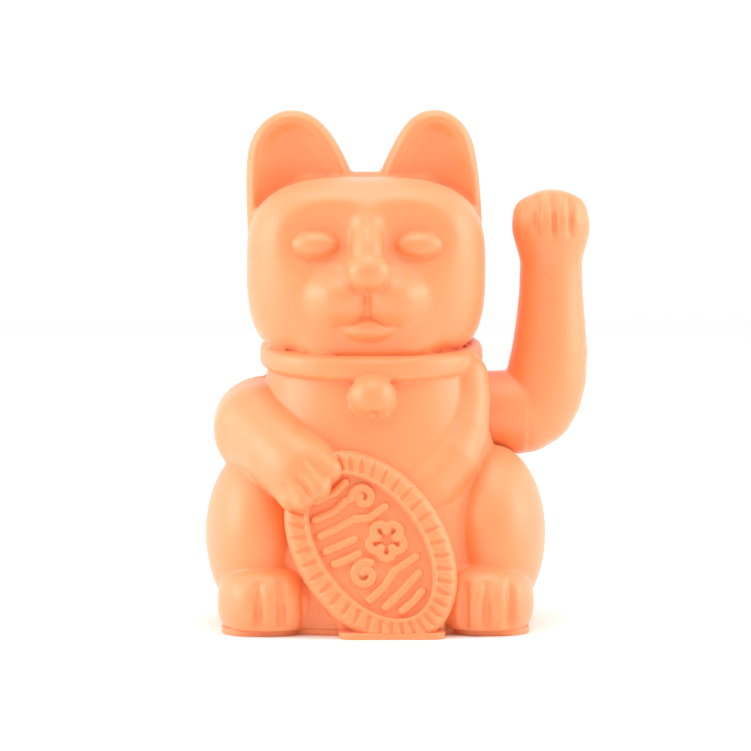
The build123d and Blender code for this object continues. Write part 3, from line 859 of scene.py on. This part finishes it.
def bright_metal(name, colour, shade, roughness, grain=(1.0, 1.0, 14.0)):
    """Metal with fine tool marks along one way."""
    finish = Finish(name)
    stretched = finish.node("ShaderNodeMapping", Vector=finish.place, Scale=grain)["Vector"]
    marks = finish.node("ShaderNodeTexNoise", Vector=stretched, Scale=260.0, Detail=3.0)["Fac"]
    finish.set(
        Base_Color=finish.mix(marks, colour, shade),
        Metallic=1.0,
        Roughness=roughness + 0.15 * marks,
    )
    finish.bump(marks, 0.00002, 0.5)
    return finish.material


def light_tent(tree):
    """A white tent, dimmer at the open side in front of the figurine."""
    tree.nodes.clear()
    way = tree.nodes.new("ShaderNodeTexCoord").outputs["Generated"]
    split = tree.nodes.new("ShaderNodeSeparateXYZ")
    tree.links.new(way, split.inputs[0])
    ahead = Value(tree, split.outputs["Y"])
    opening = ahead.math("MAXIMUM", 0.0 - ahead, 0.0)
    strength = 1.1 - 0.62 * opening * opening
    background = tree.nodes.new("ShaderNodeBackground")
    background.inputs["Color"].default_value = (1, 1, 1, 1)
    tree.links.new(strength.socket, background.inputs["Strength"])
    output = tree.nodes.new("ShaderNodeOutputWorld")
    tree.links.new(background.outputs[0], output.inputs[0])


# ---- Settings, operators and panel ---------------------------------------------------------------
def colour_property(name, description, default):
    return FloatVectorProperty(
        name=name, description=description, default=default, subtype="COLOR", size=3, min=0.0, max=1.0
    )


class CatColours(bpy.types.PropertyGroup):
    body: colour_property("Plastic", "Colour of the moulded plastic", (0.97, 0.285, 0.065))
    body_shade: colour_property("Plastic shade", "The cloudier tone in it", (0.965, 0.27, 0.057))
    floor: colour_property("Floor", "Colour of the stage", (0.95, 0.95, 0.95))
    floor_shade: colour_property("Floor shade", "The greyer tone in it", (0.94, 0.94, 0.94))


class CatView(bpy.types.PropertyGroup):
    distance: FloatProperty(
        name="Distance",
        description="From the figurine's axis to the camera",
        default=0.78,
        unit="LENGTH",
    )
    height: FloatProperty(
        name="Height", description="Camera above the floor", default=0.112, unit="LENGTH"
    )
    aim_height: FloatProperty(
        name="Aim height", description="Height looked at", default=0.0722, unit="LENGTH"
    )
    aim_side: FloatProperty(
        name="Aim side", description="Sideways place looked at", default=0.000444, unit="LENGTH"
    )
    turn: FloatProperty(
        name="Turn",
        description="Camera's turn about the figurine",
        default=math.radians(-1.0),
        subtype="ANGLE",
    )
    lens: FloatProperty(name="Lens", description="Focal length in millimetres", default=126.607)


LAMPS = (  # name, place in metres, power in watts
    ("soft_left", (-1.15, -0.25, 0.5), 6.2),
    ("soft_right", (1.15, -0.2, 0.5), 5.2),
    ("soft_top", (0.0, -0.2, 1.1), 3.4),
)


def lay_floor(tones):
    reach = 3000
    corners = [(-reach, -reach, 0), (reach, -reach, 0), (reach, reach, 0), (-reach, reach, 0)]
    floor = mesh_object("floor", corners, [(0, 1, 2, 3)])
    paint = Finish("floor_paper")
    colour = paint.mix(paint.noise(4.0), tones.floor, tones.floor_shade)
    paint.set(Base_Color=colour, Roughness=0.9)
    floor.data.materials.append(paint.material)


def add_aimed(scene, name, data, place, aim):
    """A lamp or camera that looks at a point."""
    item = bpy.data.objects.new(name, data)
    item.location = place
    item.rotation_euler = (Vector(aim) - Vector(place)).to_track_quat("-Z", "Y").to_euler()
    scene.collection.objects.link(item)
    return item


class CAT_OT_stage(bpy.types.Operator):
    """Set up the pale floor, the soft lights and the camera"""

    bl_idname = "cat.stage"
    bl_label = "Stage"

    def execute(self, context):
        scene = context.scene
        scene.view_settings.view_transform = "Standard"
        world = bpy.data.worlds.new("studio")
        scene.world = world
        world.use_nodes = True
        light_tent(world.node_tree)
        lay_floor(scene.cat_colours)
        for name, place, power in LAMPS:
            lamp = bpy.data.lights.new(name, "AREA")
            lamp.size, lamp.energy = 0.7, power
            add_aimed(scene, name, lamp, place, (0, 0, 0.07))
        view = scene.cat_view
        lens = bpy.data.cameras.new("camera")
        lens.lens, lens.sensor_width, lens.clip_start = view.lens, 36.0, 0.01
        side, front = view.distance * math.sin(view.turn), -view.distance * math.cos(view.turn)
        aim = (view.aim_side, 0, view.aim_height)
        scene.camera = add_aimed(scene, "camera", lens, (side, front, view.height), aim)
        return {"FINISHED"}


class CAT_OT_shells(bpy.types.Operator):
    """Carve the front and the rear shell of the body"""

    bl_idname = "cat.shells"
    bl_label = "Body shells"

    def execute(self, context):
        plastic = moulded_plastic(context.scene.cat_colours)
        for node, front in (("front_shell", True), ("rear_shell", False)):
            piece = shell_piece(node + "_moulding", front)
            finish_piece(piece, plastic, "root", [node])
        finish_piece(coin_piece(), plastic, "root")
        return {"FINISHED"}


class CAT_OT_arm(bpy.types.Operator):
    """Carve the two halves of the swinging arm"""

    bl_idname = "cat.arm"
    bl_label = "Swinging arm"

    def execute(self, context):
        plastic = bpy.data.materials[BODY_PLASTIC]
        clay = arm_clay()
        for node, front in (("arm_front", True), ("arm_rear", False)):
            piece = arm_piece(node + "_moulding", clay, front)
            finish_piece(piece, plastic, "swinging_arm", [node])
        return {"FINISHED"}


def movement_finishes():
    """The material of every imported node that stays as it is."""
    plastic = bpy.data.materials[BODY_PLASTIC]
    natural = plain_plastic("natural_plastic", (0.82, 0.82, 0.78), (0.74, 0.74, 0.7), 0.45)
    black = plain_plastic("black_plastic", (0.02, 0.02, 0.02), (0.04, 0.04, 0.04), 0.4)
    zinc = bright_metal("zinc_plate", (0.7, 0.7, 0.72), (0.56, 0.57, 0.6), 0.3)
    along_x = (14.0, 1.0, 1.0)
    steel = bright_metal("ground_steel", (0.6, 0.6, 0.62), (0.45, 0.45, 0.47), 0.22, along_x)
    nickel = bright_metal("nickel_plate", (0.76, 0.74, 0.7), (0.66, 0.64, 0.6), 0.18)
    brass = bright_metal("turned_brass", (0.75, 0.55, 0.25), (0.6, 0.42, 0.18), 0.25)
    copper = bright_metal("enamelled_wire", (0.72, 0.26, 0.1), (0.55, 0.18, 0.07), 0.3)
    board = plain_plastic("board_resist", (0.02, 0.16, 0.05), (0.03, 0.2, 0.07), 0.35)
    sleeve = plain_plastic("capacitor_sleeve", (0.01, 0.02, 0.12), (0.02, 0.03, 0.16), 0.25)
    lacquer = plain_plastic("resistor_lacquer", (0.62, 0.5, 0.3), (0.55, 0.43, 0.24), 0.3)
    red = plain_plastic("red_lead", (0.5, 0.02, 0.015), (0.42, 0.015, 0.01), 0.35)
    black_lead = plain_plastic("black_lead", (0.015, 0.015, 0.015), (0.03, 0.03, 0.03), 0.35)
    can = plain_plastic("cell_sleeve", (0.05, 0.06, 0.08), (0.07, 0.08, 0.1), 0.25)
    return {
        "base_plate": plastic,
        "battery_door": plastic,
        "movement_bracket": natural,
        "pendulum_lever": natural,
        "coil_bobbin": black,
        "transistor": black,
        "base_screws": zinc,
        "bracket_screws": zinc,
        "board_screws": zinc,
        "weight_screw": zinc,
        "pivot_shaft": steel,
        "shaft_clips": steel,
        "counterweight": steel,
        "pendulum_magnet": nickel,
        "battery_contact_positive": nickel,
        "battery_contact_negative": nickel,
        "battery_spring": nickel,
        "shaft_bushes": brass,
        "coil_winding": copper,
        "circuit_board": board,
        "capacitor": sleeve,
        "resistors": lacquer,
        "wire_red": red,
        "wire_black": black_lead,
        "battery_cell": can,
    }


class CAT_OT_movement(bpy.types.Operator):
    """Give every part of the movement and the battery bay its finish"""

    bl_idname = "cat.movement"
    bl_label = "Movement"

    def execute(self, context):
        for node, material in movement_finishes().items():
            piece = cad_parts[node]
            piece.data.materials.clear()
            piece.data.materials.append(material)
        return {"FINISHED"}


class CAT_PT_panel(bpy.types.Panel):
    """Lists what the figurine is built from"""

    bl_idname = "CAT_PT_panel"
    bl_label = "Beckoning cat"
    bl_space_type = "VIEW_3D"
    bl_region_type = "UI"
    bl_category = "Cat"

    def draw(self, context):
        for operator in STEPS:
            self.layout.operator(operator.bl_idname)
        for group in (context.scene.cat_colours, context.scene.cat_view):
            for key in group.__annotations__:
                self.layout.prop(group, key)


STEPS = (CAT_OT_stage, CAT_OT_shells, CAT_OT_arm, CAT_OT_movement)
CLASSES = (CatColours, CatView, *STEPS, CAT_PT_panel)


def register():
    for item in CLASSES:
        bpy.utils.register_class(item)
    bpy.types.Scene.cat_colours = PointerProperty(type=CatColours)
    bpy.types.Scene.cat_view = PointerProperty(type=CatView)


def unregister():
    del bpy.types.Scene.cat_view
    del bpy.types.Scene.cat_colours
    for item in reversed(CLASSES):
        bpy.utils.unregister_class(item)


def main():
    register()
    bpy.ops.cat.stage()
    bpy.ops.cat.shells()
    bpy.ops.cat.arm()
    bpy.ops.cat.movement()


if __name__ == "__main__":
    main()
